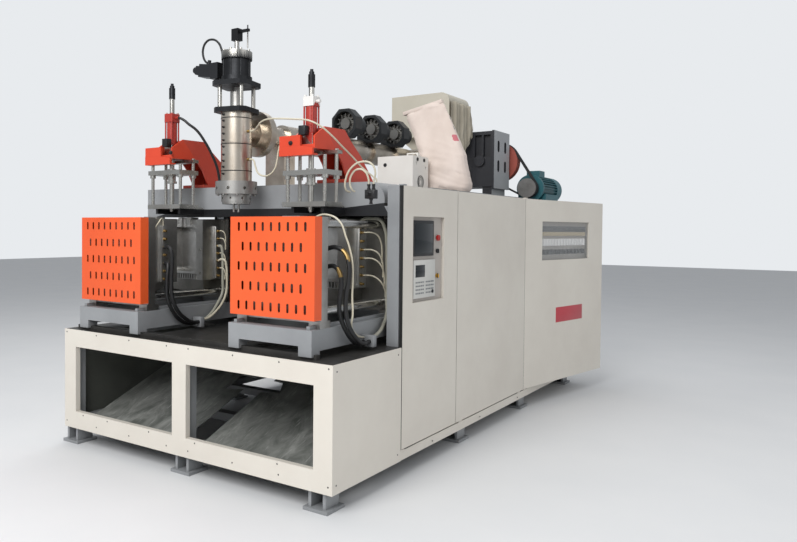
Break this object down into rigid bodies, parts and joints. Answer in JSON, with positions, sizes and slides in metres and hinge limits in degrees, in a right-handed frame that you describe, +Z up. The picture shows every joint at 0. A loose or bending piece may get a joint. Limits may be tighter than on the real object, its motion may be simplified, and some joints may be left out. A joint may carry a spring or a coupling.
{
  "type": "blow moulding machine",
  "caption": "Two-station extrusion blow moulding machine with a die head, sliding clamps with orange guards, blow pins on red arms, an extruder and cream cabinets.",
  "frame": {"origin": "centre of the four corner anchor holes, at floor level", "axes": "+X to the cabinet side (right when seen from the front), +Y from the front panel to the drive motor, +Z up"},
  "size_m": [2.71, 4.888, 2.995],
  "materials": {
    "bare_sheet": "scuffed bare steel sheet",
    "beige_cloth": "beige cotton cloth",
    "beige_paint": "beige enamel",
    "black_paint": "black enamel",
    "black_plastic": "black plastic",
    "black_rubber": "black belt rubber",
    "bright_steel": "ground steel and stainless bands",
    "cast_iron": "machined cast iron",
    "cream_paint": "fine textured cream powder coat",
    "dark_grey_paint": "dark grey enamel on castings",
    "dark_steel": "blackened steel",
    "grey_frame": "satin blue-grey machine enamel",
    "machined_steel": "machined steel",
    "mould_aluminium": "machined aluminium",
    "orange_paint": "bright orange enamel",
    "panel_white": "white coated instrument panel",
    "red_cylinder": "red tube, plated caps",
    "red_paint": "orange-red enamel",
    "red_plastic": "red plastic",
    "red_primer": "red primer",
    "switchgear": "pale plastic modules and ducts",
    "teal_paint": "teal enamel",
    "white_paint": "white enamel",
    "woven_sack": "woven pale sack",
    "yellow_plastic": "yellow plastic"
  },
  "bodies": {
    "machine": {"base_frame": "grey_frame", "front_panel": "cream_paint", "deck": "grey_frame", "chutes": "bare_sheet", "upper_frame": "grey_frame", "roof_plates": "grey_frame", "cover_panels": "cream_paint", "control_cabinet": "cream_paint", "electric_cabinet": "cream_paint", "electric_gear": "switchgear", "head_body": "bright_steel", "die_ring": "bright_steel", "head_bridge": "dark_steel", "parison_cylinder": "dark_steel", "servo_valve": "black_paint", "left_arm": "red_paint", "left_pin_stand": "machined_steel", "left_pin_cylinder": "red_cylinder", "right_arm": "red_paint", "right_pin_stand": "machined_steel", "right_pin_cylinder": "red_cylinder", "barrel": "bright_steel", "blowers": "black_paint", "hopper": "beige_paint", "gearbox": "dark_grey_paint", "drive_motor": "teal_paint", "drive_belts": "black_rubber", "aux_box": "white_paint", "sack": "woven_sack", "hopper_cloth": "beige_cloth"},
    "control_door": {"control_door": "cream_paint", "operator_panel": "panel_white"},
    "electric_door": {"electric_door": "cream_paint"},
    "estop": {"estop_button": "red_plastic"},
    "mode_selector": {"mode_selector": "black_plastic"},
    "heat_selector": {"heat_selector": "yellow_plastic"},
    "setting_knob": {"setting_knob": "black_plastic"},
    "parison_rod": {"parison_rod": "bright_steel"},
    "left_blow_pin": {"left_blow_pin": "machined_steel"},
    "right_blow_pin": {"right_blow_pin": "machined_steel"},
    "left_carriage": {"left_carriage": "grey_frame"},
    "right_carriage": {"right_carriage": "grey_frame"},
    "left_front_clamp": {"left_front_platen": "machined_steel", "left_guard": "orange_paint", "left_front_mould": "mould_aluminium"},
    "left_back_clamp": {"left_back_platen": "machined_steel", "left_back_mould": "mould_aluminium"},
    "right_front_clamp": {"right_front_platen": "machined_steel", "right_guard": "orange_paint", "right_front_mould": "mould_aluminium"},
    "right_back_clamp": {"right_back_platen": "machined_steel", "right_back_mould": "mould_aluminium"},
    "blower_wheel_1": {"blower_wheel_1": "black_plastic"},
    "blower_wheel_2": {"blower_wheel_2": "black_plastic"},
    "blower_wheel_3": {"blower_wheel_3": "black_plastic"},
    "gearbox_pulley": {"gearbox_pulley": "red_primer"},
    "motor_pulley": {"motor_pulley": "cast_iron"}
  },
  "joints": [
    {"name": "control_door_hinge", "type": "hinge", "parent": "machine", "child": "control_door", "pos_m": [1.228, -1.437, 1], "axis": [0, 0, -1], "range_deg": [0, 100]},
    {"name": "electric_door_hinge", "type": "hinge", "parent": "machine", "child": "electric_door", "pos_m": [1.228, 0.745, 1], "axis": [0, 0, -1], "range_deg": [-10.5, 95]},
    {"name": "estop_push", "type": "slide", "parent": "control_door", "child": "estop", "axis": [-1, 0, 0], "range_m": [0, 0.004], "stiffness_N_per_m": 1500},
    {"name": "mode_turn", "type": "hinge", "parent": "control_door", "child": "mode_selector", "pos_m": [1.218, -0.944, 1.44], "axis": [1, 0, 0], "range_deg": [-45, 45]},
    {"name": "heat_turn", "type": "hinge", "parent": "control_door", "child": "heat_selector", "pos_m": [1.218, -0.944, 1.27], "axis": [1, 0, 0], "range_deg": [-45, 45]},
    {"name": "setting_turn", "type": "hinge", "parent": "control_door", "child": "setting_knob", "pos_m": [1.218, -1.029, 1.17], "axis": [1, 0, 0], "range_deg": [-150, 150]},
    {"name": "parison_stroke", "type": "slide", "parent": "machine", "child": "parison_rod", "axis": [0, 0, 1], "range_m": [-0.012, 0.02]},
    {"name": "left_pin_stroke", "type": "slide", "parent": "machine", "child": "left_blow_pin", "axis": [0, 0, 1], "range_m": [-0.112, 0.02]},
    {"name": "right_pin_stroke", "type": "slide", "parent": "machine", "child": "right_blow_pin", "axis": [0, 0, 1], "range_m": [-0.045, 0.08]},
    {"name": "left_carriage_shift", "type": "slide", "parent": "machine", "child": "left_carriage", "axis": [1, 0, 0], "range_m": [0, 0.655]},
    {"name": "right_carriage_shift", "type": "slide", "parent": "machine", "child": "right_carriage", "axis": [1, 0, 0], "range_m": [-0.655, 0]},
    {"name": "left_front_close", "type": "slide", "parent": "left_carriage", "child": "left_front_clamp", "axis": [0, 1, 0], "range_m": [0, 0.1297]},
    {"name": "left_back_close", "type": "slide", "parent": "left_carriage", "child": "left_back_clamp", "axis": [0, 1, 0], "range_m": [-0.1297, 0]},
    {"name": "right_front_close", "type": "slide", "parent": "right_carriage", "child": "right_front_clamp", "axis": [0, 1, 0], "range_m": [0, 0.1297]},
    {"name": "right_back_close", "type": "slide", "parent": "right_carriage", "child": "right_back_clamp", "axis": [0, 1, 0], "range_m": [-0.1297, 0]},
    {"name": "blower_spin_1", "type": "hinge", "parent": "machine", "child": "blower_wheel_1", "pos_m": [0.1, -0.44, 2.465], "axis": [0, 1, 0], "continuous": true},
    {"name": "blower_spin_2", "type": "hinge", "parent": "machine", "child": "blower_wheel_2", "pos_m": [0.1, -0.035, 2.465], "axis": [0, 1, 0], "continuous": true},
    {"name": "blower_spin_3", "type": "hinge", "parent": "machine", "child": "blower_wheel_3", "pos_m": [0.1, 0.37, 2.465], "axis": [0, 1, 0], "continuous": true},
    {"name": "gearbox_pulley_spin", "type": "hinge", "parent": "machine", "child": "gearbox_pulley", "pos_m": [0.49, 1.945, 2.312], "axis": [0, 1, 0], "continuous": true},
    {"name": "motor_pulley_spin", "type": "hinge", "parent": "machine", "child": "motor_pulley", "pos_m": [0.8, 1.945, 2.03], "axis": [0, 1, 0], "continuous": true}
  ],
  "couplings": [
    {"joint": "left_back_close", "follows": "left_front_close", "ratio": -1},
    {"joint": "right_back_close", "follows": "right_front_close", "ratio": -1},
    {"joint": "motor_pulley_spin", "follows": "gearbox_pulley_spin", "ratio": 2.08}
  ]
}
